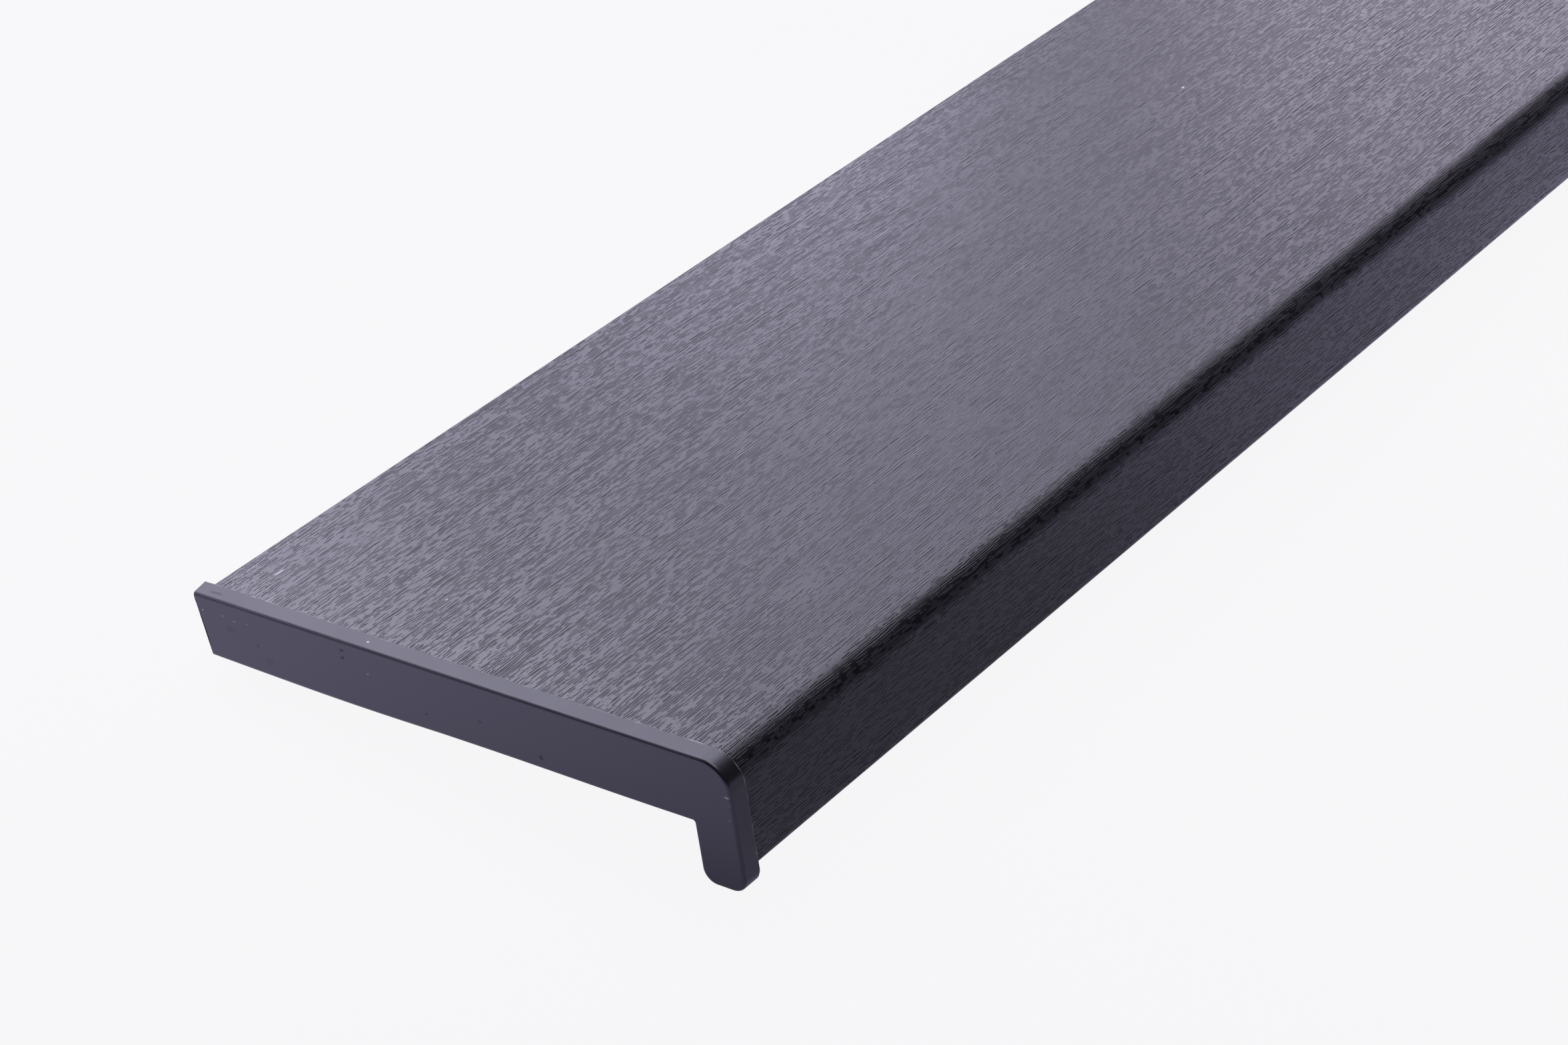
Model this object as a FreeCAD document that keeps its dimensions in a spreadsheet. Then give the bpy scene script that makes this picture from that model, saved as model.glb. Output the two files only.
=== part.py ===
import FreeCAD, Part
import os
import Sketcher

# Interior window board with a nose, and the moulded cap that closes its near end.
# Each body is drawn as fitted, with its panel level: X runs along the sill from the cap's outer
# face, Y from the nose's front to the back edge, and Z is up from the board's top face. The
# bodies' placement then lays the sill down as it rests on a floor, about the point below its middle.

doc = FreeCAD.newDocument("window_sill")

# Driving sizes in millimetres. A height is measured down from the board's top face.
driving_sizes = [
    ("board_length", 1000.0),
    ("board_depth", 200.0),
    ("board_thickness", 20.0),
    ("nose_height", 35.0),
    ("nose_thickness", 13.8),
    ("nose_top_radius", 8.0),
    ("nose_bottom_radius", 2.5),
    ("back_top_radius", 1.0),
    ("back_bottom_radius", 0.5),
    ("skin", 2.5),
    ("web", 1.5),
    ("chamber_count", 8),
    ("chamber_radius", 1.0),
    ("cap_plate", 1.5),
    ("cap_lip", 1.0),
    ("cap_gap", 0.1),
    ("cap_rim_width", 6.5),
    ("cap_plate_drop", 0.5),
    ("cap_nose_height", 40.0),
    ("cap_front_radius", 5.0),
    ("cap_back_radius", 4.5),
    ("cap_root_radius", 0.6),
    ("cap_edge_radius", 1.0),
    ("cap_stock_spare", 10.0),
    ("trim_overhang", 1.8),
    ("trim_skew", 1.4),
    ("trim_lean", 2.9),
    ("trim_hollow", 0.9),
]
sizes = doc.addObject("Spreadsheet::Sheet", "Sizes")
for row, (name, value) in enumerate(driving_sizes, start=1):
    sizes.set(f"A{row}", name)
    sizes.set(f"B{row}", str(value))
    sizes.setAlias(f"B{row}", name)
doc.recompute()

# Places that several features share, worked out from the driving sizes
PANEL_BOTTOM = "-Sizes.board_thickness"
NOSE_INSIDE = "(Sizes.nose_thickness - Sizes.skin)"
CHAMBER_TOP = "-Sizes.skin"
CHAMBER_FLOOR = "(Sizes.skin - Sizes.board_thickness)"
CHAMBER_PITCH = "((Sizes.board_depth - Sizes.nose_thickness) / Sizes.chamber_count)"
CAP_TOP = "(Sizes.cap_gap + Sizes.cap_lip)"
CAP_FRONT = f"(-{CAP_TOP})"
CAP_PLATE_FOOT = "-(Sizes.board_thickness + Sizes.cap_plate_drop)"
CAP_FOOT = "(Sizes.nose_thickness - Sizes.cap_back_radius)"
CAP_STOCK_END = "(Sizes.board_depth + Sizes.cap_stock_spare)"


def new_body(label):
    body = doc.addObject("PartDesign::Body", label)
    body.Label = label
    return body


def new_sketch(body, name, role, offset="0"):
    # A sketch on one of the body's origin planes, moved along that plane's normal.
    sketch = body.newObject("Sketcher::SketchObject", name)
    plane = next(item for item in body.Origin.OriginFeatures if item.Role == role)
    sketch.AttachmentSupport = [(plane, "")]
    sketch.MapMode = "FlatFace"
    sketch.setExpression("AttachmentOffset.Base.z", offset)
    doc.recompute()
    return sketch


def hold(sketch, kind, place, text):
    # One dimension of a sketch, bound to an expression of the driving sizes.
    value = float(sketch.evalExpression(text))
    index = sketch.addConstraint(Sketcher.Constraint(kind, *place, value))
    sketch.renameConstraint(index, f"{kind}_{index}")
    sketch.setExpression(f"Constraints.{kind}_{index}", text)


def draw_outline(sketch, corners, bow_radius=None):
    # A closed outline through the corners, each a place across, a place up and the radius that
    # rounds it, or no radius where it is sharp. With a bow radius, the first side is an arc that
    # curves into the outline.
    points = [FreeCAD.Vector(float(sketch.evalExpression(across)), float(sketch.evalExpression(up)))
              for across, up, radius in corners]
    count = len(points)
    ends = []
    for index, start in enumerate(points):
        end = points[(index + 1) % count]
        if index == 0 and bow_radius:
            chord = end - start
            radius = float(sketch.evalExpression(bow_radius))
            bow = radius - (radius ** 2 - (chord.Length / 2) ** 2) ** 0.5
            across_chord = FreeCAD.Vector(-chord.y, chord.x, 0).normalize()
            side = Part.Arc(start, (start + end) * 0.5 + across_chord * bow, end)
        else:
            side = Part.LineSegment(start, end)
        sketch.addGeometry(side)
        forward = sketch.getPoint(index, 1).distanceToPoint(start) < 1e-6
        ends.append((1, 2) if forward else (2, 1))
    for index in range(count):
        following = (index + 1) % count
        sketch.addConstraint(Sketcher.Constraint("Coincident", index, ends[index][1],
                                                 following, ends[following][0]))
    for index, (across, up, radius) in enumerate(corners):
        if radius:
            sketch.fillet((index - 1) % count, ends[index - 1][1], float(sketch.evalExpression(radius)))
            hold(sketch, "Radius", (sketch.GeometryCount - 1,), radius)
    for index, (across, up, radius) in enumerate(corners):
        next_across, next_up, _ = corners[(index + 1) % count]
        if across == next_across:
            sketch.addConstraint(Sketcher.Constraint("Vertical", index))
            hold(sketch, "DistanceX", (-1, 1, index, 1), across)
        elif up == next_up:
            sketch.addConstraint(Sketcher.Constraint("Horizontal", index))
            hold(sketch, "DistanceY", (-1, 1, index, 1), up)
        elif index == 0 and bow_radius:
            hold(sketch, "Radius", (index,), bow_radius)
            hold(sketch, "DistanceX", (-1, 1, index, ends[index][0]), across)
            hold(sketch, "DistanceX", (-1, 1, index, ends[index][1]), next_across)
        else:
            hold(sketch, "DistanceY", (-1, 1, index, 1), up)
            hold(sketch, "DistanceY", (-1, 1, index, 2), next_up)
    doc.recompute()


def pad(body, name, sketch, length):
    feature = body.newObject("PartDesign::Pad", name)
    feature.Profile = sketch
    feature.setExpression("Length", length)
    doc.recompute()
    return feature


def pocket(body, name, sketch, length=None, both_ways=False):
    # Cut along the sketch's normal: a given length, or all the way through.
    feature = body.newObject("PartDesign::Pocket", name)
    feature.Profile = sketch
    feature.Reversed = True
    if length:
        feature.setExpression("Length", length)
    else:
        feature.Type = "ThroughAll"
    if both_ways:
        feature.SideType = "Symmetric"
    before = body.Shape.Volume
    doc.recompute()
    if not feature.Shape.Volume < before:
        raise RuntimeError(f"{name} cut nothing")
    return feature


# The board: one hollow extrusion, a panel with its nose turned down at the front
board = new_body("sill_board")
board_section = new_sketch(board, "board_section", "YZ_Plane", "Sizes.cap_plate")
draw_outline(board_section, [
    ("0", "0", "Sizes.nose_top_radius"),
    ("Sizes.board_depth", "0", "Sizes.back_top_radius"),
    ("Sizes.board_depth", PANEL_BOTTOM, "Sizes.back_bottom_radius"),
    ("Sizes.nose_thickness", PANEL_BOTTOM, None),
    ("Sizes.nose_thickness", "-Sizes.nose_height", "Sizes.nose_bottom_radius"),
    ("0", "-Sizes.nose_height", "Sizes.nose_bottom_radius"),
])
extrusion = pad(board, "board_extrusion", board_section, "Sizes.board_length")

# The chamber behind the rounded nose keeps the skin's thickness round the bend. Its other top
# corner is sharp, which leaves the bend its room in a thin nose.
bend_section = new_sketch(board, "bend_chamber_section", "YZ_Plane", "Sizes.cap_plate")
draw_outline(bend_section, [
    ("Sizes.skin", CHAMBER_TOP, "(Sizes.nose_top_radius - Sizes.skin)"),
    (NOSE_INSIDE, CHAMBER_TOP, None),
    (NOSE_INSIDE, CHAMBER_FLOOR, "Sizes.chamber_radius"),
    ("Sizes.skin", CHAMBER_FLOOR, "Sizes.chamber_radius"),
])
bend_chamber = pocket(board, "bend_chamber", bend_section)

# The chamber that hangs in the nose, below the web that carries the panel's floor
nose_section = new_sketch(board, "nose_chamber_section", "YZ_Plane", "Sizes.cap_plate")
NOSE_FLOOR = "(Sizes.skin - Sizes.nose_height)"
draw_outline(nose_section, [
    ("Sizes.skin", PANEL_BOTTOM, "Sizes.chamber_radius"),
    (NOSE_INSIDE, PANEL_BOTTOM, "Sizes.chamber_radius"),
    (NOSE_INSIDE, NOSE_FLOOR, "Sizes.chamber_radius"),
    ("Sizes.skin", NOSE_FLOOR, "Sizes.chamber_radius"),
])
nose_chamber = pocket(board, "nose_chamber", nose_section)

# The panel's row of equal chambers, one web apart
panel_section = new_sketch(board, "panel_chamber_section", "YZ_Plane", "Sizes.cap_plate")
FIRST_CHAMBER = f"({NOSE_INSIDE} + Sizes.web)"
FIRST_CHAMBER_END = f"({NOSE_INSIDE} + {CHAMBER_PITCH})"
draw_outline(panel_section, [
    (FIRST_CHAMBER, CHAMBER_TOP, "Sizes.chamber_radius"),
    (FIRST_CHAMBER_END, CHAMBER_TOP, "Sizes.chamber_radius"),
    (FIRST_CHAMBER_END, CHAMBER_FLOOR, "Sizes.chamber_radius"),
    (FIRST_CHAMBER, CHAMBER_FLOOR, "Sizes.chamber_radius"),
])
panel_chamber = pocket(board, "panel_chamber", panel_section)
chamber_row = board.newObject("PartDesign::LinearPattern", "panel_chamber_row")
chamber_row.Originals = [panel_chamber]
chamber_row.Direction = (panel_section, ["H_Axis"])
chamber_row.setExpression("Occurrences", "Sizes.chamber_count")
chamber_row.setExpression("Length", f"{CHAMBER_PITCH} * (Sizes.chamber_count - 1)")
board.Tip = chamber_row

# The cap, moulded long: an end plate as tall as the board, flush with the nose's back, and a lip
# that wraps over the board's top, down the nose's front and under it
cap = new_body("end_cap")
cap_section = new_sketch(cap, "cap_section", "YZ_Plane")
draw_outline(cap_section, [
    (CAP_FRONT, CAP_TOP, f"(Sizes.nose_top_radius + {CAP_TOP})"),
    (CAP_STOCK_END, CAP_TOP, None),
    (CAP_STOCK_END, CAP_PLATE_FOOT, None),
    ("Sizes.nose_thickness", CAP_PLATE_FOOT, "Sizes.cap_root_radius"),
    ("Sizes.nose_thickness", "-Sizes.cap_nose_height", "Sizes.cap_back_radius"),
    (CAP_FRONT, "-Sizes.cap_nose_height", "Sizes.cap_front_radius"),
])
cap_block = pad(cap, "cap_block", cap_section, "Sizes.cap_rim_width")

# The face's outer edge is eased all the way round, and only the cut end stays square
face_edges = [f"Edge{index}" for index, edge in enumerate(cap_block.Shape.Edges, start=1)
              if edge.BoundBox.XMax < 1e-6 and edge.BoundBox.YMin < float(sizes.board_depth)]
eased_face = cap.newObject("PartDesign::Fillet", "eased_face")
eased_face.Base = (cap_block, face_edges)
eased_face.setExpression("Radius", "Sizes.cap_edge_radius")
doc.recompute()

# The room that the board's end fills. It is open below the panel and behind the nose, where the
# wall comes, so the lip under the nose stops where the plate's back corner starts to round.
room_section = new_sketch(cap, "room_section", "YZ_Plane", "Sizes.cap_plate")
ROOM_FRONT = "(-Sizes.cap_gap)"
ROOM_FLOOR = "(Sizes.cap_lip - Sizes.cap_nose_height)"
OPEN_BELOW = "-(Sizes.cap_nose_height + Sizes.cap_stock_spare)"
draw_outline(room_section, [
    (ROOM_FRONT, "Sizes.cap_gap", "(Sizes.nose_top_radius + Sizes.cap_gap)"),
    (CAP_STOCK_END, "Sizes.cap_gap", None),
    (CAP_STOCK_END, OPEN_BELOW, None),
    (CAP_FOOT, OPEN_BELOW, None),
    (CAP_FOOT, ROOM_FLOOR, None),
    (ROOM_FRONT, ROOM_FLOOR, "(Sizes.cap_front_radius - Sizes.cap_lip)"),
])
room = pocket(cap, "board_room", room_section)

# Two snips trim the long cap to the board: one skewed across the lip, seen from above
skew_section = new_sketch(cap, "skew_snip_section", "XY_Plane")
LIP_SNIP = "(Sizes.board_depth + Sizes.trim_overhang)"
FACE_SNIP = f"({LIP_SNIP} - Sizes.trim_skew)"
draw_outline(skew_section, [
    ("0", FACE_SNIP, None),
    ("Sizes.cap_rim_width", LIP_SNIP, None),
    ("Sizes.cap_rim_width", CAP_STOCK_END, None),
    ("0", CAP_STOCK_END, None),
])
skew_snip = pocket(cap, "skew_snip", skew_section, both_ways=True)

# and one hollow and leaning down the plate, seen from the end
lean_section = new_sketch(cap, "lean_snip_section", "YZ_Plane")
PLATE_SNIP_TOP = f"({LIP_SNIP} - Sizes.trim_skew / 2)"
PLATE_SNIP_FOOT = f"({PLATE_SNIP_TOP} - Sizes.trim_lean)"
SNIP_HEIGHT = f"({CAP_TOP} + Sizes.board_thickness + Sizes.cap_plate_drop)"
SNIP_RADIUS = (f"((Sizes.trim_lean ^ 2 + {SNIP_HEIGHT} ^ 2) / 4 + Sizes.trim_hollow ^ 2)"
               " / (2 * Sizes.trim_hollow)")
draw_outline(lean_section, [
    (PLATE_SNIP_FOOT, CAP_PLATE_FOOT, None),
    (PLATE_SNIP_TOP, CAP_TOP, None),
    (CAP_STOCK_END, CAP_TOP, None),
    (CAP_STOCK_END, CAP_PLATE_FOOT, None),
], bow_radius=SNIP_RADIUS)
lean_snip = pocket(cap, "lean_snip", lean_section, length="Sizes.cap_plate")

# The sill lies on three points: the cap's nose, and at the far end the board's nose and its back
# edge. The floor rises to the back and, because the cap hangs lower, a little along the board too.
NOSE_FOOT = "(Sizes.nose_thickness - Sizes.nose_bottom_radius)"
BACK_FOOT = "(Sizes.board_depth - Sizes.back_bottom_radius)"
RISE_BACK = f"((Sizes.nose_height - Sizes.board_thickness) / ({BACK_FOOT} - {NOSE_FOOT}))"
RISE_ALONG = (f"((Sizes.cap_nose_height - Sizes.nose_height - {RISE_BACK} * ({NOSE_FOOT} - {CAP_FOOT}))"
              " / (Sizes.cap_plate + Sizes.board_length - Sizes.cap_rim_width))")
STEEPNESS = f"sqrt({RISE_BACK} ^ 2 + {RISE_ALONG} ^ 2)"
LIFT = (f"(Sizes.cap_nose_height + {RISE_ALONG} * Sizes.cap_rim_width + {RISE_BACK} * {CAP_FOOT})"
        f" * cos(atan({STEEPNESS}))")
# The origin is on that floor, below the middle of the sill as it lies
MIDDLE_ALONG = "(Sizes.cap_plate + Sizes.board_length) / 2"
MIDDLE_ACROSS = (f"({LIP_SNIP} - {CAP_TOP}"
                 f" - {RISE_BACK} * (Sizes.cap_nose_height - Sizes.cap_front_radius)) / 2")
for body in (board, cap):
    body.setExpression("Placement.Rotation.Axis.x", f"-{RISE_BACK}")
    body.setExpression("Placement.Rotation.Axis.y", RISE_ALONG)
    body.setExpression("Placement.Rotation.Axis.z", "0")
    body.setExpression("Placement.Rotation.Angle", f"atan({STEEPNESS})")
    body.setExpression("Placement.Base.x", f"-{MIDDLE_ALONG}")
    body.setExpression("Placement.Base.y", f"-{MIDDLE_ACROSS}")
    body.setExpression("Placement.Base.z", LIFT)
doc.recompute()

# Everything must have been worked out soundly before a file is written
for item in doc.Objects:
    if "Invalid" in item.State or "Error" in item.State:
        raise RuntimeError(f"{item.Name} is {item.State}")
os.makedirs("parts", exist_ok=True)
for body in (board, cap):
    if body.Shape.isNull() or not body.Shape.isValid() or len(body.Shape.Solids) != 1:
        raise RuntimeError(f"{body.Label} is not one sound solid")
    body.Shape.exportStep(f"parts/{body.Label}.step")
    box = body.Shape.BoundBox
    print(f"{body.Label}: {body.Shape.Volume / 1000:.1f} cm3, X {box.XMin:.2f} to {box.XMax:.2f}, "
          f"Y {box.YMin:.2f} to {box.YMax:.2f}, Z {box.ZMin:.3f} to {box.ZMax:.2f}")
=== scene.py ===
import math
import bmesh
import bpy
from mathutils import Euler, Matrix, Vector, noise


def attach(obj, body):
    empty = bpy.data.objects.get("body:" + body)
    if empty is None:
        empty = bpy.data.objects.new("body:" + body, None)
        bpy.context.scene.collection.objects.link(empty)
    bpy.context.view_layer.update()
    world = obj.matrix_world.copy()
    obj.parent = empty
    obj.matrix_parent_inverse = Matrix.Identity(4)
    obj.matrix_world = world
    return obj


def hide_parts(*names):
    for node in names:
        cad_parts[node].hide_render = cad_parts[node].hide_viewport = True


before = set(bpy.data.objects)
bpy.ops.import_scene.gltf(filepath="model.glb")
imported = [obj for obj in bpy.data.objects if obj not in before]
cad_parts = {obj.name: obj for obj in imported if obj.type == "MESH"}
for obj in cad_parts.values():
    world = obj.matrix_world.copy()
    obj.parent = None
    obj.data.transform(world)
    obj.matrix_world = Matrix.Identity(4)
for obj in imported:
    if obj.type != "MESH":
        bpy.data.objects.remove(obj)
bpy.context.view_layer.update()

# The lie of the sill
# Both pieces are drawn as fitted, with the panel level: X runs along from the cap's outer face, Y from
# the nose's front to the back edge, Z up from the board's top. On a floor the sill lies on the cap's
# nose and on its far end, so every finished mesh is turned and set down by the same lean.
MM = 0.001
BOARD_LENGTH = 1000 * MM
BOARD_DEPTH = 200 * MM
BOARD_THICKNESS = 20 * MM
NOSE_HEIGHT = 35 * MM
NOSE_THICKNESS = 13.8 * MM
NOSE_BOTTOM_RADIUS = 2.5 * MM
BACK_BOTTOM_RADIUS = 0.5 * MM
CAP_PLATE = 1.5 * MM
CAP_LIP = 1.0 * MM
CAP_GAP = 0.1 * MM
CAP_RIM_WIDTH = 6.5 * MM
CAP_NOSE_HEIGHT = 40 * MM
CAP_FRONT_RADIUS = 5 * MM
CAP_BACK_RADIUS = 4.5 * MM
CAP_OVERHANG = 1.8 * MM

nose_foot = NOSE_THICKNESS - NOSE_BOTTOM_RADIUS
cap_foot = NOSE_THICKNESS - CAP_BACK_RADIUS
rise_back = (NOSE_HEIGHT - BOARD_THICKNESS) / (BOARD_DEPTH - BACK_BOTTOM_RADIUS - nose_foot)
rise_along = ((CAP_NOSE_HEIGHT - NOSE_HEIGHT - rise_back * (nose_foot - cap_foot))
              / (CAP_PLATE + BOARD_LENGTH - CAP_RIM_WIDTH))
lean = math.atan(math.hypot(rise_back, rise_along))
set_down = Vector((
    -(CAP_PLATE + BOARD_LENGTH) / 2,
    -(BOARD_DEPTH + CAP_OVERHANG - CAP_LIP - CAP_GAP
      - rise_back * (CAP_NOSE_HEIGHT - CAP_FRONT_RADIUS)) / 2,
    (CAP_NOSE_HEIGHT + rise_along * CAP_RIM_WIDTH + rise_back * cap_foot) * math.cos(lean),
))
lay_down = Matrix.Translation(set_down) @ Matrix.Rotation(lean, 4, Vector((-rise_back, rise_along, 0)))


# The board
# One hollow extrusion of white PVC, a panel with its nose turned down at the front and a row of
# chambers inside, covered on its seen sides with an embossed dark film that wraps the nose and the
# back edge. Its far end is sawn square and shows the chambers.
NOSE_TOP_RADIUS = 8 * MM
BACK_TOP_RADIUS = 1 * MM
SKIN = 2.5 * MM
WEB = 1.5 * MM
CHAMBER_COUNT = 8
CHAMBER_RADIUS = 1 * MM
SECTION_ARC_POINTS = 10
PORE_ROW_PITCH = 0.8 * MM
PORE_STEP = 4.0 * MM
EMBOSS_DEPTH = 0.065 * MM
SAW_MARK_DEPTH = 0.04 * MM
DIE_LINE_DEPTH = 0.03 * MM


def add_node(tree, kind, inputs=None, **settings):
    # A node with its settings, and its inputs given as values or as the sockets that feed them.
    new = tree.nodes.new(kind)
    for name, value in settings.items():
        setattr(new, name, value)
    for key, value in (inputs or {}).items():
        if isinstance(value, bpy.types.NodeSocket):
            tree.links.new(value, new.inputs[key])
        else:
            new.inputs[key].default_value = value
    return new


def calculate(tree, operation, *values):
    new = add_node(tree, "ShaderNodeMath", dict(enumerate(values)), operation=operation)
    return new.outputs[0]


def place(tree, x=0.0, y=0.0, z=0.0):
    return add_node(tree, "ShaderNodeCombineXYZ", {"X": x, "Y": y, "Z": z}).outputs[0]


def pick_by_index(tree, data_type, values):
    # A field that gives each point of a path its own value, by the point's number.
    switch = add_node(tree, "GeometryNodeIndexSwitch", data_type=data_type)
    while len(switch.index_switch_items) < len(values):
        switch.index_switch_items.new()
    tree.links.new(add_node(tree, "GeometryNodeInputIndex").outputs[0], switch.inputs["Index"])
    for number, value in enumerate(values):
        socket = switch.inputs[number + 1]
        if isinstance(value, bpy.types.NodeSocket):
            tree.links.new(value, socket)
        else:
            socket.default_value = value
    return switch.outputs[0]


def rounded_path(tree, corners, radii, arc_points):
    # A closed path through the corners, each rounded by its own radius.
    line = add_node(tree, "GeometryNodeMeshLine", {"Count": len(corners)})
    moved = add_node(tree, "GeometryNodeSetPosition",
                     {"Geometry": line.outputs[0], "Position": pick_by_index(tree, "VECTOR", corners)})
    path = add_node(tree, "GeometryNodeMeshToCurve", {"Mesh": moved.outputs[0]})
    closed = add_node(tree, "GeometryNodeSetSplineCyclic", {"Geometry": path.outputs[0], "Cyclic": True})
    return add_node(tree, "GeometryNodeFilletCurve",
                    {"Curve": closed.outputs[0], "Count": arc_points,
                     "Radius": pick_by_index(tree, "FLOAT", radii)}, mode="POLY").outputs[0]


def drawn_out(tree, section, length):
    # The walls that a path leaves when it is drawn out to the length.
    wire = add_node(tree, "GeometryNodeCurveToMesh", {"Curve": section})
    return add_node(tree, "GeometryNodeExtrudeMesh",
                    {"Mesh": wire.outputs[0], "Offset": place(tree, z=1.0), "Offset Scale": length},
                    mode="EDGES").outputs[0]


def build_board_tree():
    tree = bpy.data.node_groups.new("hollow_window_board", "GeometryNodeTree")
    tree.interface.new_socket("Geometry", in_out="OUTPUT", socket_type="NodeSocketGeometry")
    for name in ("Length", "Depth", "Thickness", "Nose Height", "Nose Thickness", "Nose Top Radius",
                 "Nose Bottom Radius", "Back Top Radius", "Back Bottom Radius", "Skin", "Web",
                 "Chamber Radius", "Cap Plate"):
        tree.interface.new_socket(name, in_out="INPUT", socket_type="NodeSocketFloat")
    tree.interface.new_socket("Chamber Count", in_out="INPUT", socket_type="NodeSocketInt")
    tree.interface.new_socket("Arc Points", in_out="INPUT", socket_type="NodeSocketInt")
    for name in ("Film", "Bare Core", "Sawn Core"):
        tree.interface.new_socket(name, in_out="INPUT", socket_type="NodeSocketMaterial")
    given = add_node(tree, "NodeGroupInput").outputs

    # The section lies flat while it is drawn: across is X, up is Y and the length grows along Z.
    bottom = calculate(tree, "MULTIPLY", given["Thickness"], -1.0)
    foot = calculate(tree, "MULTIPLY", given["Nose Height"], -1.0)
    roof = calculate(tree, "MULTIPLY", given["Skin"], -1.0)
    floor = calculate(tree, "SUBTRACT", given["Skin"], given["Thickness"])
    nose_inside = calculate(tree, "SUBTRACT", given["Nose Thickness"], given["Skin"])
    outline = rounded_path(tree, [
        place(tree, given["Nose Thickness"], bottom),
        place(tree, given["Nose Thickness"], foot),
        place(tree, 0.0, foot),
        place(tree, 0.0, 0.0),
        place(tree, given["Depth"], 0.0),
        place(tree, given["Depth"], bottom),
    ], [0.0, given["Nose Bottom Radius"], given["Nose Bottom Radius"], given["Nose Top Radius"],
        given["Back Top Radius"], given["Back Bottom Radius"]], given["Arc Points"])
    bend_chamber = rounded_path(tree, [
        place(tree, given["Skin"], roof),
        place(tree, nose_inside, roof),
        place(tree, nose_inside, floor),
        place(tree, given["Skin"], floor),
    ], [calculate(tree, "SUBTRACT", given["Nose Top Radius"], given["Skin"]), 0.0,
        given["Chamber Radius"], given["Chamber Radius"]], given["Arc Points"])
    nose_floor = calculate(tree, "ADD", foot, given["Skin"])
    nose_chamber = rounded_path(tree, [
        place(tree, given["Skin"], bottom),
        place(tree, nose_inside, bottom),
        place(tree, nose_inside, nose_floor),
        place(tree, given["Skin"], nose_floor),
    ], [given["Chamber Radius"]] * 4, given["Arc Points"])

    # The panel's chambers are one rounded slot, repeated a pitch apart.
    pitch = calculate(tree, "DIVIDE", calculate(tree, "SUBTRACT", given["Depth"], given["Nose Thickness"]),
                      given["Chamber Count"])
    slot = add_node(tree, "GeometryNodeCurvePrimitiveQuadrilateral",
                    {"Width": calculate(tree, "SUBTRACT", pitch, given["Web"]),
                     "Height": calculate(tree, "SUBTRACT", roof, floor)})
    rounded_slot = add_node(tree, "GeometryNodeFilletCurve",
                            {"Curve": slot.outputs[0], "Count": given["Arc Points"],
                             "Radius": given["Chamber Radius"]}, mode="POLY")
    first = calculate(tree, "ADD", nose_inside,
                      calculate(tree, "MULTIPLY", calculate(tree, "ADD", pitch, given["Web"]), 0.5))
    row = add_node(tree, "GeometryNodeMeshLine",
                   {"Count": given["Chamber Count"],
                    "Start Location": place(tree, first, calculate(
                        tree, "MULTIPLY", calculate(tree, "ADD", roof, floor), 0.5)),
                    "Offset": place(tree, pitch)})
    slots = add_node(tree, "GeometryNodeInstanceOnPoints",
                     {"Points": row.outputs[0], "Instance": rounded_slot.outputs[0]})
    panel_chambers = add_node(tree, "GeometryNodeRealizeInstances", {"Geometry": slots.outputs[0]})
    chambers = add_node(tree, "GeometryNodeJoinGeometry")
    for curves in (bend_chamber, nose_chamber, panel_chambers.outputs[0]):
        tree.links.new(curves, chambers.inputs[0])

    # The outside carries the film. How far round the section each point lies becomes the film's own
    # map, so that the grain runs along the board and turns over the nose without a break.
    unrolled = add_node(tree, "GeometryNodeStoreNamedAttribute",
                        {"Geometry": outline, "Name": "unrolled",
                         "Value": add_node(tree, "GeometryNodeSplineParameter").outputs["Length"]},
                        data_type="FLOAT", domain="POINT")
    outside = drawn_out(tree, unrolled.outputs[0], given["Length"])
    here = add_node(tree, "ShaderNodeSeparateXYZ",
                    {0: add_node(tree, "GeometryNodeInputPosition").outputs[0]}).outputs
    around = add_node(tree, "GeometryNodeInputNamedAttribute", {"Name": "unrolled"}, data_type="FLOAT")
    mapped = add_node(tree, "GeometryNodeStoreNamedAttribute",
                      {"Geometry": outside, "Name": "film",
                       "Value": place(tree, here["Z"], around.outputs[0])},
                      data_type="FLOAT2", domain="CORNER")
    under = calculate(tree, "MULTIPLY",
                      calculate(tree, "LESS_THAN", here["Y"], calculate(tree, "ADD", bottom, 1e-5)),
                      calculate(tree, "GREATER_THAN", here["X"],
                                calculate(tree, "ADD", given["Nose Thickness"], 1e-5)))
    filmed = add_node(tree, "GeometryNodeStoreNamedAttribute",
                      {"Geometry": mapped.outputs[0], "Name": "filmed",
                       "Value": calculate(tree, "SUBTRACT", 1.0, under)},
                      data_type="FLOAT", domain="FACE")
    inside = drawn_out(tree, chambers.outputs[0], given["Length"])

    # Both ends are the section filled in round its chambers.
    whole_section = add_node(tree, "GeometryNodeJoinGeometry")
    for curves in (outline, chambers.outputs[0]):
        tree.links.new(curves, whole_section.inputs[0])
    near_end = add_node(tree, "GeometryNodeFillCurve", {"Curve": whole_section.outputs[0]}, mode="TRIANGLES")
    far_end = add_node(tree, "GeometryNodeTransform",
                       {"Geometry": near_end.outputs[0], "Translation": place(tree, z=given["Length"])})
    ends = add_node(tree, "GeometryNodeJoinGeometry")
    for mesh in (near_end.outputs[0], far_end.outputs[0]):
        tree.links.new(mesh, ends.inputs[0])
    sawn = add_node(tree, "GeometryNodeStoreNamedAttribute",
                    {"Geometry": ends.outputs[0], "Name": "sawn", "Value": 1.0},
                    data_type="FLOAT", domain="FACE")

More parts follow.
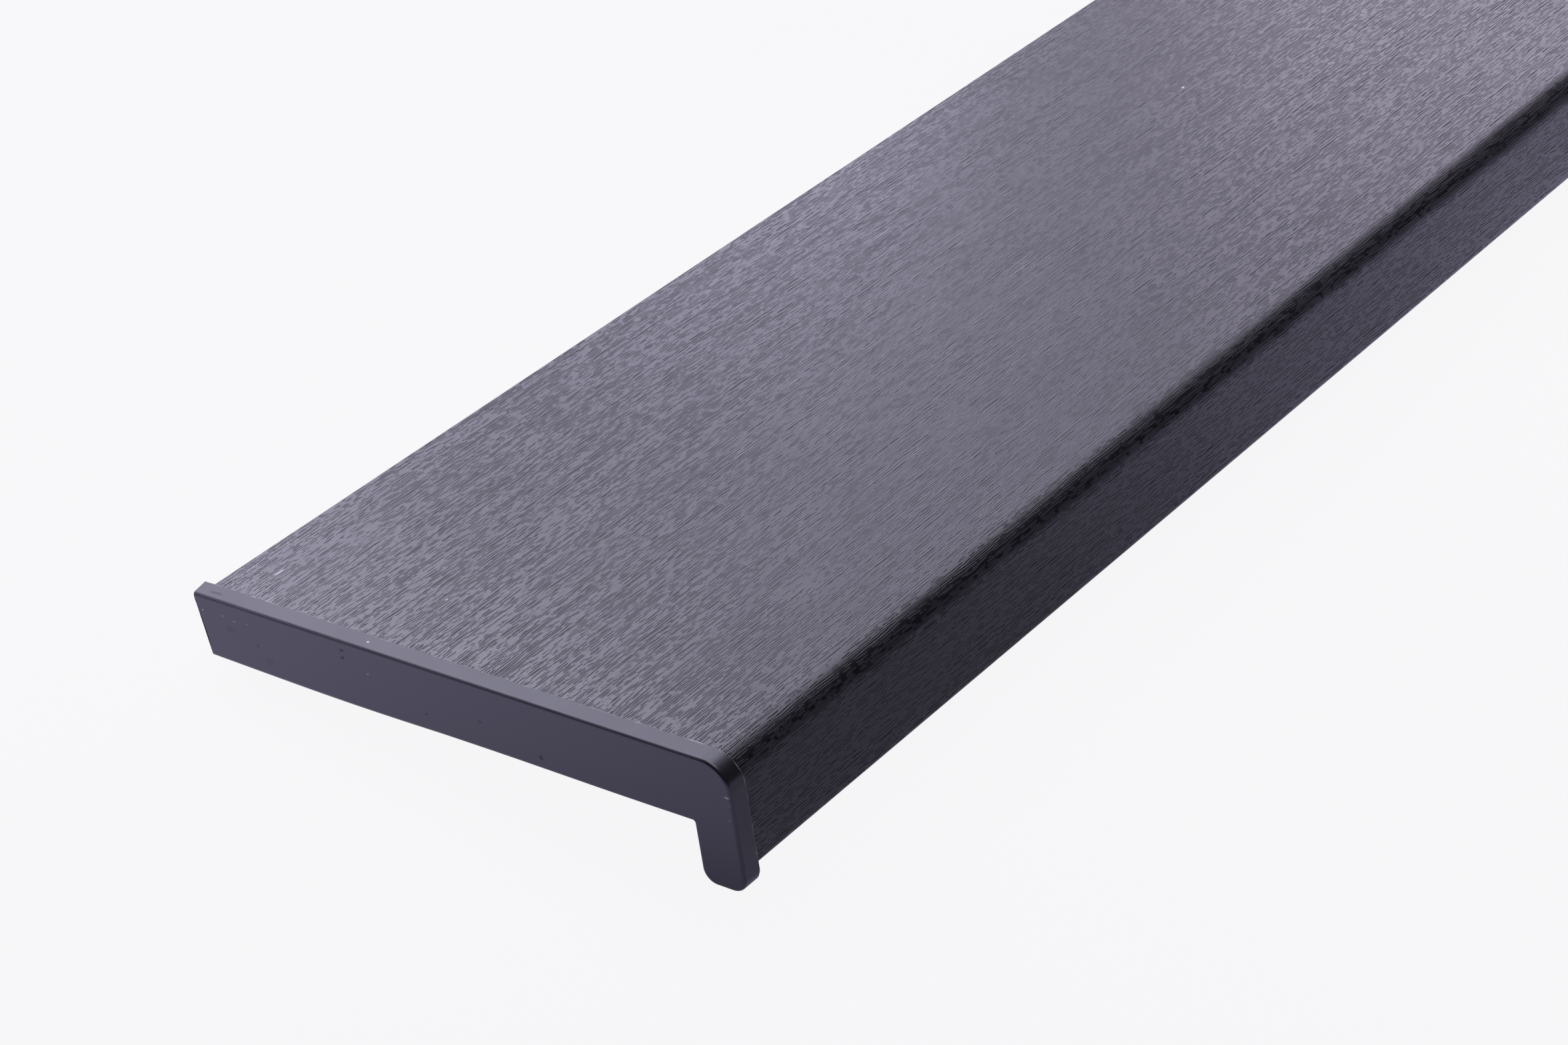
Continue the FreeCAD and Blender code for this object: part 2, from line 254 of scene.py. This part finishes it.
    shell = add_node(tree, "GeometryNodeJoinGeometry")
    for mesh in (filmed.outputs[0], inside, sawn.outputs[0]):
        tree.links.new(mesh, shell.inputs[0])
    closed = add_node(tree, "GeometryNodeMergeByDistance", {"Geometry": shell.outputs[0], "Distance": 1e-6})
    stood = add_node(tree, "GeometryNodeSetPosition",
                     {"Geometry": closed.outputs[0],
                      "Position": place(tree, calculate(tree, "ADD", here["Z"], given["Cap Plate"]),
                                        here["X"], here["Y"])})
    last = add_node(tree, "GeometryNodeRealizeInstances", {"Geometry": stood.outputs[0]}).outputs[0]
    for mark, material in ((None, "Bare Core"), ("filmed", "Film"), ("sawn", "Sawn Core")):
        chosen = {"Geometry": last, "Material": given[material]}
        if mark:
            chosen["Selection"] = add_node(tree, "GeometryNodeInputNamedAttribute", {"Name": mark},
                                           data_type="FLOAT").outputs[0]
        last = add_node(tree, "GeometryNodeSetMaterial", chosen).outputs[0]
    add_node(tree, "NodeGroupOutput", {0: last})
    return tree


def new_material(name):
    material = bpy.data.materials.new(name)
    material.use_nodes = True
    material.node_tree.nodes.clear()
    return material, material.node_tree


def finish_material(tree, surface):
    add_node(tree, "ShaderNodeOutputMaterial", {"Surface": surface})


def ramp(tree, value, start, end, low=0.0, high=1.0):
    # A smooth step: low below start, high above end.
    return add_node(tree, "ShaderNodeMapRange",
                    {"Value": value, "From Min": start, "From Max": end, "To Min": low, "To Max": high},
                    interpolation_type="SMOOTHSTEP").outputs[0]


def cloud(tree, vector, scale=1.0, detail=2.0, roughness=0.5, dimensions="3D"):
    return add_node(tree, "ShaderNodeTexNoise",
                    {"Vector": vector, "Scale": scale, "Detail": detail, "Roughness": roughness},
                    noise_dimensions=dimensions).outputs[0]


def stretch(tree, vector, along, across):
    # The film's map in steps of a length along the grain and a length across it.
    return add_node(tree, "ShaderNodeVectorMath", {0: vector, 1: (1 / along, 1 / across, 1.0)},
                    operation="MULTIPLY").outputs[0]


def mix_colour(tree, share, first, second):
    node = add_node(tree, "ShaderNodeMix", {0: share}, data_type="RGBA")
    for socket, value in ((node.inputs[6], first), (node.inputs[7], second)):
        if isinstance(value, bpy.types.NodeSocket):
            tree.links.new(value, socket)
        else:
            socket.default_value = value
    return node.outputs[2]


def marked(tree, places):
    # Small marks, as 1 in the middle of each and 0 past its ragged rim. Middles and half sizes in mm.
    here = add_node(tree, "ShaderNodeAttribute", attribute_name="fitted").outputs["Vector"]
    frayed = ramp(tree, cloud(tree, here, scale=1400.0), 0.2, 0.8, -0.3, 0.3)
    mask = 0.0
    for middle, half_size in places:
        away = add_node(tree, "ShaderNodeVectorMath", {0: here, 1: Vector(middle) * MM}, operation="SUBTRACT")
        away = add_node(tree, "ShaderNodeVectorMath", {0: away.outputs[0], 1: Vector(half_size) * MM},
                        operation="DIVIDE")
        reach = add_node(tree, "ShaderNodeVectorMath", {0: away.outputs[0]}, operation="LENGTH")
        mask = calculate(tree, "MAXIMUM", mask, ramp(
            tree, calculate(tree, "ADD", reach.outputs["Value"], frayed), 0.6, 1.0, 1.0, 0.0))
    return mask


def paint(code):
    # A colour from its screen code, as the shader's linear value.
    levels = [int(code[i:i + 2], 16) / 255 for i in (1, 3, 5)]
    return tuple(c / 12.92 if c <= 0.04045 else ((c + 0.055) / 1.055) ** 2.4 for c in levels) + (1.0,)


def build_film():
    # Dark grey film, semi-matt, embossed with short open pores. They lie in rows side by side along the
    # board, each a thin dark groove between two faintly raised lips. The grooves' near-black is partly the
    # film's own darker pores and partly painted shade, and the lips' lighter grey is a painted highlight.
    material, tree = new_material("embossed_dark_film")
    film = add_node(tree, "ShaderNodeUVMap", uv_map="film").outputs[0]
    wander = cloud(tree, stretch(tree, film, 26 * MM, 6 * MM), detail=1.0)
    shiver = cloud(tree, stretch(tree, film, 2.2 * MM, 1.2 * MM), detail=1.0)
    across = add_node(tree, "ShaderNodeSeparateXYZ", {0: film}).outputs
    row_place = calculate(tree, "ADD", calculate(tree, "DIVIDE", across["Y"], PORE_ROW_PITCH),
                          calculate(tree, "MULTIPLY", wander, 2.0))
    row_place = calculate(tree, "ADD", row_place, calculate(tree, "MULTIPLY", shiver, 0.3))
    row_number = calculate(tree, "FLOOR", row_place)
    chance = add_node(tree, "ShaderNodeTexWhiteNoise", {"W": row_number}, noise_dimensions="1D").outputs[0]
    along_row = place(tree, calculate(tree, "ADD", calculate(tree, "DIVIDE", across["X"], PORE_STEP),
                                      calculate(tree, "MULTIPLY", chance, 91.0)),
                      calculate(tree, "MULTIPLY", row_number, 3.7))
    own_dashes = cloud(tree, along_row, detail=3.0, dimensions="2D")
    own_middle = ramp(tree, cloud(tree, stretch(tree, along_row, 3.6, 1.0), detail=0.0, dimensions="2D"),
                      0.25, 0.75, 0.24, 0.76)
    from_middle = calculate(tree, "ABSOLUTE", calculate(
        tree, "SUBTRACT", calculate(tree, "FRACT", row_place), own_middle))
    streaks = cloud(tree, stretch(tree, film, 34 * MM, 1.5 * MM), detail=2.0)
    density = cloud(tree, stretch(tree, film, 60 * MM, 6 * MM), detail=3.0, roughness=0.6)
    strength = calculate(tree, "ADD", calculate(tree, "MULTIPLY", own_dashes, 0.7),
                         calculate(tree, "MULTIPLY", streaks, 0.3))
    strength = calculate(tree, "ADD", strength,
                         calculate(tree, "MULTIPLY", calculate(tree, "SUBTRACT", density, 0.5), 0.2))
    half_width = ramp(tree, strength, 0.43, 0.51, -0.05, 0.16)
    pore_with_painted_shade = ramp(tree, calculate(tree, "SUBTRACT", half_width, from_middle), -0.05, 0.1)
    lips_with_painted_highlight = calculate(tree, "MULTIPLY", ramp(tree, strength, 0.42, 0.48), calculate(
        tree, "MULTIPLY", ramp(tree, from_middle, 0.18, 0.34), ramp(tree, from_middle, 0.4, 0.6, 1.0, 0.0)))
    fine = cloud(tree, stretch(tree, film, 1.2 * MM, 0.35 * MM), detail=2.0)
    height = calculate(tree, "SUBTRACT", calculate(tree, "ADD", calculate(
        tree, "MULTIPLY", fine, 0.12), calculate(tree, "MULTIPLY", lips_with_painted_highlight, 0.35)), pore_with_painted_shade)
    bump = add_node(tree, "ShaderNodeBump", {"Height": height, "Strength": 1.0, "Distance": EMBOSS_DEPTH})
    clouds = cloud(tree, stretch(tree, film, 90 * MM, 22 * MM), detail=4.0)
    ground = mix_colour(tree, ramp(tree, clouds, 0.3, 0.7), paint("#1d1c22"), paint("#232129"))
    # The near-black in the grooves is partly the pores' own colour and partly painted shade; the lighter grey
    # on the lips is a painted highlight.
    colour = mix_colour(tree, pore_with_painted_shade, mix_colour(tree, lips_with_painted_highlight, ground, paint("#2d2b33")), paint("#0b0a0e"))
    scuffs = marked(tree, [((21, 186.2, 0), (2.4, 0.4, 0.5)), ((32, 128.5, 0), (0.6, 0.35, 0.5)),
                           ((413.7, 124.4, 0), (0.9, 0.6, 0.5))])
    blots = marked(tree, [((10.2, 171.4, 0), (1.6, 1.4, 0.5)), ((15.3, 172.6, 0), (2.2, 1.2, 0.5))])
    colour = mix_colour(tree, scuffs, colour, paint("#b9b8c4"))
    roughness = calculate(tree, "ADD", ramp(tree, clouds, 0.2, 0.8, 0.29, 0.34), calculate(
        tree, "SUBTRACT", calculate(tree, "MULTIPLY", pore_with_painted_shade, 0.6), calculate(tree, "MULTIPLY", lips_with_painted_highlight, 0.1)))
    roughness = calculate(tree, "ADD", roughness, calculate(tree, "MULTIPLY", blots, 0.22))
    roughness = calculate(tree, "ADD", roughness, ramp(tree, streaks, 0.3, 0.7, 0.04, -0.04))
    finish_material(tree, add_node(tree, "ShaderNodeBsdfPrincipled", {
        "Base Color": colour, "Roughness": roughness, "Normal": bump.outputs[0], "IOR": 1.7,
        "Specular Tint": (0.8, 0.78, 1.0, 1.0)}).outputs[0])
    return material


def build_core(name, sawn):
    # Plain white PVC: faint die lines along the extrusion, or the shallow arcs that a saw leaves.
    material, tree = new_material(name)
    here = add_node(tree, "ShaderNodeTexCoord").outputs["Object"]
    stain = cloud(tree, here, scale=35.0, detail=4.0)
    if sawn:
        marks = add_node(tree, "ShaderNodeTexWave",
                         {"Vector": add_node(tree, "ShaderNodeMapping", {
                             "Vector": here, "Location": (0.0, 0.25, 0.3)}).outputs[0],
                          "Scale": 260.0, "Distortion": 1.5, "Detail": 2.0},
                         wave_type="RINGS", rings_direction="X").outputs["Fac"]
        depth = SAW_MARK_DEPTH
    else:
        marks = cloud(tree, add_node(tree, "ShaderNodeMapping", {
            "Vector": here, "Scale": (1.0, 900.0, 900.0)}).outputs[0], detail=2.0)
        depth = DIE_LINE_DEPTH
    bump = add_node(tree, "ShaderNodeBump", {"Height": marks, "Strength": 1.0, "Distance": depth})
    colour = mix_colour(tree, ramp(tree, stain, 0.35, 0.7), paint("#dedcd6"), paint("#d2cfc8"))
    finish_material(tree, add_node(tree, "ShaderNodeBsdfPrincipled", {
        "Base Color": colour, "Roughness": ramp(tree, marks, 0.0, 1.0, 0.42, 0.6),
        "Normal": bump.outputs[0]}).outputs[0])
    return material


def made_solid(mesh, sharp_angle):
    # Welds the mesh, points its faces outwards and keeps its edges crisp above the angle.
    work = bmesh.new()
    work.from_mesh(mesh)
    bmesh.ops.remove_doubles(work, verts=work.verts, dist=1e-6)
    bmesh.ops.recalc_face_normals(work, faces=work.faces)
    work.to_mesh(mesh)
    work.free()
    mesh.shade_smooth()
    mesh.set_sharp_from_angle(angle=math.radians(sharp_angle))


def keep_places(mesh):
    # Keeps each point's place in the level drawing, for the materials' small marks.
    places = mesh.attributes.new("fitted", "FLOAT_VECTOR", "POINT")
    places.data.foreach_set("vector", [c for vertex in mesh.vertices for c in vertex.co])


carrier = bpy.data.objects.new("board_carrier", bpy.data.meshes.new("board_carrier"))
bpy.context.scene.collection.objects.link(carrier)
board_tree = build_board_tree()
extruder = carrier.modifiers.new("extrude", "NODES")
extruder.node_group = board_tree
board_inputs = {
    "Length": BOARD_LENGTH, "Depth": BOARD_DEPTH, "Thickness": BOARD_THICKNESS,
    "Nose Height": NOSE_HEIGHT, "Nose Thickness": NOSE_THICKNESS, "Nose Top Radius": NOSE_TOP_RADIUS,
    "Nose Bottom Radius": NOSE_BOTTOM_RADIUS, "Back Top Radius": BACK_TOP_RADIUS,
    "Back Bottom Radius": BACK_BOTTOM_RADIUS, "Skin": SKIN, "Web": WEB,
    "Chamber Radius": CHAMBER_RADIUS, "Cap Plate": CAP_PLATE, "Chamber Count": CHAMBER_COUNT,
    "Arc Points": SECTION_ARC_POINTS, "Film": build_film(), "Bare Core": build_core("bare_white_core", False),
    "Sawn Core": build_core("sawn_white_core", True),
}
for item in board_tree.interface.items_tree:
    if item.in_out == "INPUT":
        extruder[item.identifier] = board_inputs[item.name]
evaluated = carrier.evaluated_get(bpy.context.evaluated_depsgraph_get())
board_mesh = bpy.data.meshes.new_from_object(evaluated)
bpy.data.objects.remove(carrier)
made_solid(board_mesh, 25)
keep_places(board_mesh)
board_mesh.transform(lay_down)
board = bpy.data.objects.new("window_board", board_mesh)
bpy.context.scene.collection.objects.link(board)
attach(board, "root")
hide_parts("sill_board")


# The cap
# One thin moulding in matt plastic of the film's colour: a plate over the board's end and a lip over
# its top, down the nose's front and under it. It is moulded long and snipped to the board's depth,
# so its back end is raw, skewed across the lip and hollow down the plate.
CAP_PLATE_FOOT = -20.5 * MM
CAP_ROOT_RADIUS = 0.6 * MM
CAP_EDGE_RADIUS = 1.0 * MM
CAP_FREE_EDGE = 0.2 * MM
TRIM_SKEW = 1.4 * MM
TRIM_LEAN = 2.9 * MM
TRIM_HOLLOW = 0.9 * MM
CAP_TOP = CAP_LIP + CAP_GAP
CAP_RAGGED = 0.3 * MM
CAP_RAGGED_PITCH = 2.5 * MM
FOOT_FIRST_WAVE, FOOT_LONG_WAVE, FOOT_LAST_RISE = 60 * MM, 105 * MM, 178 * MM
FOOT_FIRST_HEIGHT, FOOT_LONG_HEIGHT, FOOT_LAST_SLOPE = 0.1 * MM, 0.45 * MM, 0.02
ARC_STEPS = 16
EDGE_STEPS = 6
CAP_RUNS = 130
END_STEPS = 28


def snipped_at(x, z):
    # Where the cap's raw back end lies: one snip runs across the lip, the other down the plate.
    skewed = BOARD_DEPTH + CAP_OVERHANG - TRIM_SKEW * (1 - x / CAP_RIM_WIDTH)
    if x > CAP_PLATE:
        return skewed
    down = (CAP_TOP - z) / (CAP_TOP - CAP_PLATE_FOOT)
    leaning = (BOARD_DEPTH + CAP_OVERHANG - TRIM_SKEW / 2 - TRIM_LEAN * down
               - TRIM_HOLLOW * 4 * down * (1 - down))
    return min(skewed, leaning)


def foot_wave(y):
    # The plate's foot was pared by hand: it waves by under half a millimetre and rises a little at
    # the raw end.
    if y > FOOT_LAST_RISE:
        return (y - FOOT_LAST_RISE) * FOOT_LAST_SLOPE
    if y > FOOT_LONG_WAVE:
        span = FOOT_LAST_RISE - FOOT_LONG_WAVE
        return -FOOT_LONG_HEIGHT * math.sin(math.pi * (y - FOOT_LONG_WAVE) / span)
    span = FOOT_LONG_WAVE - FOOT_FIRST_WAVE
    return FOOT_FIRST_HEIGHT * math.sin(math.pi * (FOOT_LONG_WAVE - y) / span)


def cap_ring(x, inset, ragged=0.0):
    # The cap's outline at one place along, drawn in by the inset: over the top from the back, round
    # the nose, back along the plate's foot and up the raw end.
    top, front, foot = CAP_TOP - inset, -CAP_TOP + inset, -CAP_NOSE_HEIGHT + inset
    back, plate_foot = NOSE_THICKNESS - inset, CAP_PLATE_FOOT + inset
    corners = [
        (front, top, (1, 0), (0, -1), NOSE_TOP_RADIUS + CAP_TOP - inset),
        (front, foot, (0, 1), (1, 0), CAP_FRONT_RADIUS - inset),
        (back, foot, (-1, 0), (0, 1), CAP_BACK_RADIUS - inset),
        (back, plate_foot, (0, -1), (1, 0), CAP_ROOT_RADIUS + inset),
    ]
    back_end, bend = snipped_at(x, top), front + corners[0][4]
    ring = [Vector((x, back_end + (bend - back_end) * step / CAP_RUNS, top)) for step in range(CAP_RUNS)]
    for y, z, before, after, radius in corners:
        for step in range(ARC_STEPS + 1):
            turn = math.pi / 2 * step / ARC_STEPS
            ring.append(Vector((
                x,
                y + radius * (before[0] * (1 - math.sin(turn)) + after[0] * (1 - math.cos(turn))),
                z + radius * (before[1] * (1 - math.sin(turn)) + after[1] * (1 - math.cos(turn))),
            )))
    root, foot_end = ring[-1].y, snipped_at(x, plate_foot)
    for step in range(1, CAP_RUNS + 1):
        y = root + (foot_end - root) * step / CAP_RUNS
        ring.append(Vector((x, y, plate_foot + foot_wave(y) * min(1, (y - root) / (10 * MM)))))
    lowest = CAP_PLATE_FOOT + CAP_EDGE_RADIUS * 1.2
    for step in range(END_STEPS + 1):
        z = lowest + (CAP_GAP - lowest) * step / END_STEPS
        ring.append(Vector((x, snipped_at(x, z), z)))
    for point in ring:
        point.x += ragged * noise.noise(Vector((point.y, point.z, 0)) / CAP_RAGGED_PITCH)
    return ring


def build_cap_mesh():
    work = bmesh.new()

    def points(ring):
        return [work.verts.new(point) for point in ring]

    def bridge(first, second, closed):
        count = len(first)
        for index in range(count if closed else count - 1):
            following = (index + 1) % count
            work.faces.new((first[index], first[following], second[following], second[index]))

    lip_end = CAP_RUNS + 2 * (ARC_STEPS + 1)
    eased = [math.pi / 2 * step / EDGE_STEPS for step in range(EDGE_STEPS + 1)]
    rings = [points(cap_ring(0, CAP_EDGE_RADIUS + CAP_FREE_EDGE))]
    rings += [points(cap_ring(CAP_EDGE_RADIUS * (1 - math.cos(turn)), CAP_EDGE_RADIUS * (1 - math.sin(turn))))
              for turn in eased]
    rings += [points(cap_ring(x, 0)) for x in (CAP_EDGE_RADIUS + CAP_FREE_EDGE, CAP_PLATE)]
    work.faces.new(rings[0])
    for first, second in zip(rings, rings[1:]):
        bridge(first, second, True)
    free_edge = [(CAP_PLATE, 0), (CAP_RIM_WIDTH - 2 * CAP_FREE_EDGE, 0)]
    free_edge += [(CAP_RIM_WIDTH - CAP_FREE_EDGE * (1 - math.sin(turn)), CAP_FREE_EDGE * (1 - math.cos(turn)))
                  for turn in eased[::2]]
    free_edge += [(CAP_RIM_WIDTH - CAP_FREE_EDGE * (1 - math.cos(turn)),
                   CAP_LIP - CAP_FREE_EDGE * (1 - math.sin(turn))) for turn in eased[::2]]
    free_edge.append((CAP_PLATE, CAP_LIP))
    strips = [points(cap_ring(x, inset, CAP_RAGGED if x > CAP_RIM_WIDTH / 2 else 0)[:lip_end + 1])
              for x, inset in free_edge]
    for first, second in zip(strips, strips[1:]):
        bridge(first, second, False)
    work.faces.new([strip[0] for strip in strips])
    work.faces.new([strip[-1] for strip in strips])
    work.faces.new(strips[-1][1:] + rings[-1][lip_end:])
    mesh = bpy.data.meshes.new("end_cap_moulding")
    work.to_mesh(mesh)
    work.free()
    return mesh


def build_cap_plastic():
    # Matt moulded plastic with a very fine skin, a little dustier on its top.
    material, tree = new_material("matt_cap_plastic")
    fitted = add_node(tree, "ShaderNodeAttribute", attribute_name="fitted").outputs["Vector"]
    fine = cloud(tree, fitted, scale=2400.0, detail=3.0)
    patches = cloud(tree, fitted, scale=34.0, detail=1.0)
    specks = marked(tree, [
        ((0, 0.5, -8.8), (1, 1.1, 0.45)), ((0, -0.2, -11.2), (1, 0.3, 0.3)),
        ((0, 0.7, -16.1), (1, 0.3, 0.3)), ((0, 189.5, -4), (1, 0.4, 0.25)),
        ((0, 184.7, -4.7), (1, 0.8, 0.2)), ((0, 179.5, -4.2), (1, 0.35, 0.25)),
        ((0, 131.3, -7.6), (1, 0.6, 0.3)), ((0, 198, -4.2), (1, 0.4, 0.4)),
        ((3.3, 132.2, 1.1), (0.5, 0.5, 1)), ((6.4, -1, -29.7), (0.5, 1, 0.7))])
    smears = marked(tree, [
        ((0, 67.4, -16.5), (1, 1.0, 0.9)), ((0, 176.8, -11), (1, 0.4, 0.7)),
        ((0, 140.4, -2.2), (1, 1.2, 0.6)), ((0, 140.6, -4.7), (1, 1, 0.6)),
        ((0, 110.3, -14.9), (1, 0.5, 0.4)), ((0, 89, -11.1), (1, 0.6, 0.6))])
    thumbed = marked(tree, [((0, 187.6, -8), (1, 2.0, 1.6)), ((0, 173, -15.2), (1, 2.0, 1.6)),
                            ((2.9, 193.5, 1.1), (0.6, 3.0, 1))])
    axes = add_node(tree, "ShaderNodeSeparateXYZ", {0: fitted}).outputs
    flash = calculate(tree, "MULTIPLY", ramp(tree, axes["X"], CAP_RIM_WIDTH - 2 * CAP_FREE_EDGE,
                                             CAP_RIM_WIDTH - CAP_FREE_EDGE),
                      ramp(tree, cloud(tree, fitted, scale=260.0, detail=3.0), 0.46, 0.6, 0.08, 0.7))
    bump = add_node(tree, "ShaderNodeBump", {"Height": fine, "Strength": 0.5, "Distance": 0.008 * MM})
    colour = mix_colour(tree, ramp(tree, patches, 0.3, 0.7), paint("#2a2830"), paint("#2e2c34"))
    colour = mix_colour(tree, flash, colour, paint("#c9c6cf"))
    colour = mix_colour(tree, specks, mix_colour(tree, smears, colour, paint("#131216")), paint("#c4c3cd"))
    roughness = calculate(tree, "ADD", ramp(tree, patches, 0.25, 0.75, 0.31, 0.34), calculate(
        tree, "MULTIPLY", calculate(tree, "MAXIMUM", smears, flash), 0.3))
    dust = ramp(tree, axes["Z"], CAP_TOP - 0.2 * MM, CAP_TOP - 0.02 * MM, 0.0, 0.23)
    roughness = calculate(tree, "ADD", roughness, calculate(
        tree, "ADD", dust, calculate(tree, "MULTIPLY", thumbed, 0.1)))
    finish_material(tree, add_node(tree, "ShaderNodeBsdfPrincipled", {
        "Base Color": colour, "Roughness": roughness, "Normal": bump.outputs[0], "IOR": 1.78,
        "Specular Tint": (0.76, 0.75, 1.0, 1.0)}).outputs[0])
    return material


cap_mesh = build_cap_mesh()
made_solid(cap_mesh, 35)
keep_places(cap_mesh)
cap_mesh.transform(lay_down)
cap_mesh.materials.append(build_cap_plastic())
cap = bpy.data.objects.new("fitted_cap", cap_mesh)
bpy.context.scene.collection.objects.link(cap)
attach(cap, "root")
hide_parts("end_cap")


# The studio
# A plain pale floor and soft light. The softboxes behind the board lay their sheen along its top and
# the cap's, the one at the cap's edge draws the thin line of light along it, and a weak one fills the
# cap's end. In reflections the paper glows white, with a painted half shade just before the cap that
# darkens what it mirrors there.
floor_mesh = bpy.data.meshes.new("studio_floor")
FLOOR_REACH = 14.0
# A painted half shade on the paper, seen only in reflections, lies round this spot out to this reach.
PAINTED_SHADE_SPOT = (-0.4, -0.25, 0.0)
PAINTED_SHADE_REACH = 0.42
PAPER_SEEN_WHITE = 0.94
floor_mesh.from_pydata([(-FLOOR_REACH, -FLOOR_REACH, 0), (FLOOR_REACH, -FLOOR_REACH, 0),
                        (FLOOR_REACH, FLOOR_REACH, 0), (-FLOOR_REACH, FLOOR_REACH, 0)], [], [(0, 1, 2, 3)])
floor = bpy.data.objects.new("studio_floor", floor_mesh)
bpy.context.scene.collection.objects.link(floor)
paper, paper_tree = new_material("studio_paper")
paper_here = add_node(paper_tree, "ShaderNodeTexCoord").outputs["Object"]
paper_tone = mix_colour(paper_tree, cloud(paper_tree, paper_here, scale=1.3), paint("#f9f9fb"),
                        paint("#fefeff"))
paper_lit = add_node(paper_tree, "ShaderNodeBsdfDiffuse", {"Color": paint("#acacb0")}).outputs[0]
seen = add_node(paper_tree, "ShaderNodeLightPath").outputs
paper_white = add_node(paper_tree, "ShaderNodeEmission", {
    "Color": mix_colour(paper_tree, seen["Is Glossy Ray"], paper_tone, paint("#ece6ff")),
    "Strength": 1.0}).outputs[0]
# Painted shade: what reflections see of the paper's glow is dimmed near the spot before the cap.
from_painted_shade_spot = add_node(paper_tree, "ShaderNodeVectorMath", {0: paper_here, 1: PAINTED_SHADE_SPOT},
                         operation="DISTANCE").outputs["Value"]
mirrored_glow_with_painted_shade = calculate(paper_tree, "MULTIPLY", seen["Is Glossy Ray"],
                  ramp(paper_tree, from_painted_shade_spot, 0.0, PAINTED_SHADE_REACH))
finish_material(paper_tree, add_node(paper_tree, "ShaderNodeMixShader", {
    0: calculate(paper_tree, "MAXIMUM",
                 calculate(paper_tree, "MULTIPLY", seen["Is Camera Ray"], PAPER_SEEN_WHITE), mirrored_glow_with_painted_shade),
    1: paper_lit, 2: paper_white}).outputs[0])
floor_mesh.materials.append(paper)


def softbox(name, towards, distance, width, height, strength, light="#ffffff"):
    # A soft panel that looks at the sill from the direction (azimuth, elevation), in degrees.
    azimuth, elevation = (math.radians(angle) for angle in towards)
    away = Vector((math.sin(azimuth) * math.cos(elevation), -math.cos(azimuth) * math.cos(elevation),
                   math.sin(elevation)))
    lamp = bpy.data.lights.new(name, "AREA")
    lamp.shape = "RECTANGLE"
    lamp.size = width
    lamp.size_y = height
    lamp.energy = strength
    lamp.color = paint(light)[:3]
    box = bpy.data.objects.new(name, lamp)
    box.location = away * distance
    box.rotation_euler = away.to_track_quat("Z", "Y").to_euler()
    box.visible_camera = False
    bpy.context.scene.collection.objects.link(box)


softbox("softbox_behind", (129, 22), 1.8, 1.1, 1.1, 4.6, "#eeeaff")
softbox("softbox_far_end", (112, 18), 1.9, 1.0, 0.8, 4.8, "#fbf0ff")
softbox("softbox_low_back", (152, 14), 1.8, 1.0, 0.55, 4.4, "#eeeaff")
softbox("softbox_back_corner", (174, 20), 1.7, 1.0, 0.8, 3.8, "#eeeaff")
softbox("softbox_high_back", (130, 58), 1.8, 1.2, 0.8, 6.8)
softbox("softbox_overhead", (0, 88), 1.8, 1.2, 1.2, 11.0)
softbox("softbox_cap_end", (-147, 16), 1.6, 0.9, 0.8, 5.2, "#eeeaff")
softbox("softbox_cap_edge", (172, 46), 1.7, 0.8, 0.5, 15.0)
world = bpy.data.worlds.new("studio_room")
bpy.context.scene.world = world
world.use_nodes = True
world.node_tree.nodes["Background"].inputs["Color"].default_value = paint("#e6e6ea")
world.node_tree.nodes["Background"].inputs["Strength"].default_value = 0.01

# The camera
# It stands off the cap's front corner and looks down on the top, with the photograph's own lens, turn
# and slight roll, so that the board runs out of the picture at the far side.
photo_camera = bpy.data.cameras.new("photo_camera")
photo_camera.lens = 85.0
photo_camera.sensor_width = 36.0
photo_camera.sensor_fit = "HORIZONTAL"
photo_camera.clip_start = 0.05
camera = bpy.data.objects.new("photo_camera", photo_camera)
camera.location = (-1.077425, -0.61912, 0.612943)
camera.rotation_euler = Euler([math.radians(angle) for angle in (57.2462, 4.1731, -52.2065)], "XYZ")
bpy.context.scene.collection.objects.link(camera)
bpy.context.scene.camera = camera
bpy.context.scene.view_settings.view_transform = "Standard"
